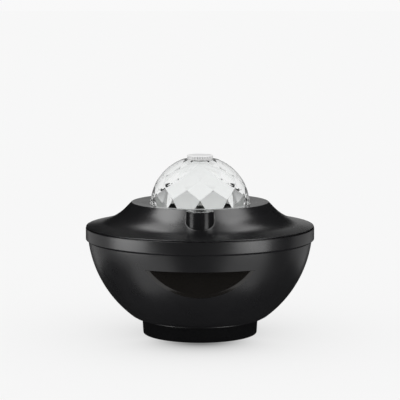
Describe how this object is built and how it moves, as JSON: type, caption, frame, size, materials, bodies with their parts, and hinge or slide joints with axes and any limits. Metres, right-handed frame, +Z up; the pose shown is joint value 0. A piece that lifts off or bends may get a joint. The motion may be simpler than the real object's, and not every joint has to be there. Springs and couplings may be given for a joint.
{
  "type": "star projector",
  "caption": "Table-top star projector: bowl-shaped housing on a foot, dished cover with laser boss, gem-cut clear dome, and a geared ripple disc and grating inside.",
  "frame": {"origin": "on the table under the middle of the foot", "axes": "+Z up; -Y is the front, with the laser boss and the half-moon window; +X to the right seen from the front"},
  "size_m": [0.165, 0.165, 0.1301],
  "materials": {
    "base_black": "fine grained matt black",
    "board_green": "green solder mask",
    "board_white": "white solder mask",
    "button_black": "fine grained matt black",
    "capacitor_can": "sleeved can",
    "chassis_white": "moulded white",
    "chip_black": "moulded epoxy",
    "cone_paper": "pressed paper",
    "crystal_clear": "clear polished acrylic",
    "gear_white": "natural acetal",
    "grating_film": "clear film with a fine grating",
    "laser_brass": "turned",
    "led_lens": "clear silicone over phosphor",
    "magnet_ferrite": "sintered ferrite",
    "motor_steel": "plated sheet",
    "pad_rubber": "matt",
    "satin_black": "satin moulded black",
    "screw_steel": "zinc plated",
    "sink_aluminium": "extruded",
    "smoked_window": "smoked polished",
    "vent_frost": "frosted white acrylic"
  },
  "bodies": {
    "housing": {"base_cover": "base_black", "base_screws": "screw_steel", "board_screws": "screw_steel", "board_sockets": "gear_white", "bowl": "satin_black", "capacitors": "capacitor_can", "centre_pin": "screw_steel", "chassis_plate": "chassis_white", "chassis_screws": "screw_steel", "condenser_lenses": "crystal_clear", "control_chip": "chip_black", "crystal_dome": "crystal_clear", "dome_retainer": "chassis_white", "foot_ring": "satin_black", "front_window": "smoked_window", "gear_motor": "motor_steel", "heat_sink": "sink_aluminium", "key_board": "board_green", "key_board_screws": "screw_steel", "key_switches": "motor_steel", "laser_holder": "base_black", "laser_module": "laser_brass", "laser_screws": "screw_steel", "laser_window": "smoked_window", "led_board": "board_white", "leds": "led_lens", "lens_holder": "chassis_white", "main_board": "board_green", "motor_screws": "screw_steel", "power_inlet": "motor_steel", "receiver_board": "board_green", "receiver_screws": "screw_steel", "remote_receiver": "chip_black", "retainer_screws": "screw_steel", "rim_ring": "satin_black", "ripple_clip": "screw_steel", "rubber_pads": "pad_rubber", "sink_screws": "screw_steel", "speaker_basket": "motor_steel", "speaker_cone": "cone_paper", "speaker_magnet": "magnet_ferrite", "top_cover": "satin_black", "vent_cap": "vent_frost"},
    "ripple": {"ripple_gear": "gear_white", "ripple_disc": "crystal_clear"},
    "pinion": {"motor_pinion": "gear_white", "motor_shaft": "screw_steel"},
    "grating": {"grating_gear": "gear_white", "grating_disc": "grating_film"},
    "button_1": {"button_1": "button_black"},
    "button_2": {"button_2": "button_black"},
    "button_3": {"button_3": "button_black"},
    "button_4": {"button_4": "button_black"}
  },
  "joints": [
    {"name": "ripple_spin", "type": "hinge", "parent": "housing", "child": "ripple", "pos_m": [0, 0, 0.0855], "axis": [0, 0, 1], "continuous": true},
    {"name": "pinion_spin", "type": "hinge", "parent": "housing", "child": "pinion", "pos_m": [0, -0.0366, 0.0855], "axis": [0, 0, 1], "continuous": true},
    {"name": "grating_spin", "type": "hinge", "parent": "housing", "child": "grating", "pos_m": [0, -0.0552, 0.0855], "axis": [0, 0, 1], "continuous": true},
    {"name": "button_1_press", "type": "slide", "parent": "housing", "child": "button_1", "axis": [0, -1, 0], "range_m": [0, 0.0008], "stiffness_N_per_m": 800, "springref_m": -0.0005},
    {"name": "button_2_press", "type": "slide", "parent": "housing", "child": "button_2", "axis": [0, -1, 0], "range_m": [0, 0.0008], "stiffness_N_per_m": 800, "springref_m": -0.0005},
    {"name": "button_3_press", "type": "slide", "parent": "housing", "child": "button_3", "axis": [0, -1, 0], "range_m": [0, 0.0008], "stiffness_N_per_m": 800, "springref_m": -0.0005},
    {"name": "button_4_press", "type": "slide", "parent": "housing", "child": "button_4", "axis": [0, -1, 0], "range_m": [0, 0.0008], "stiffness_N_per_m": 800, "springref_m": -0.0005}
  ],
  "couplings": [
    {"joint": "pinion_spin", "follows": "ripple_spin", "ratio": -2.2105},
    {"joint": "grating_spin", "follows": "ripple_spin", "ratio": 3.5}
  ]
}
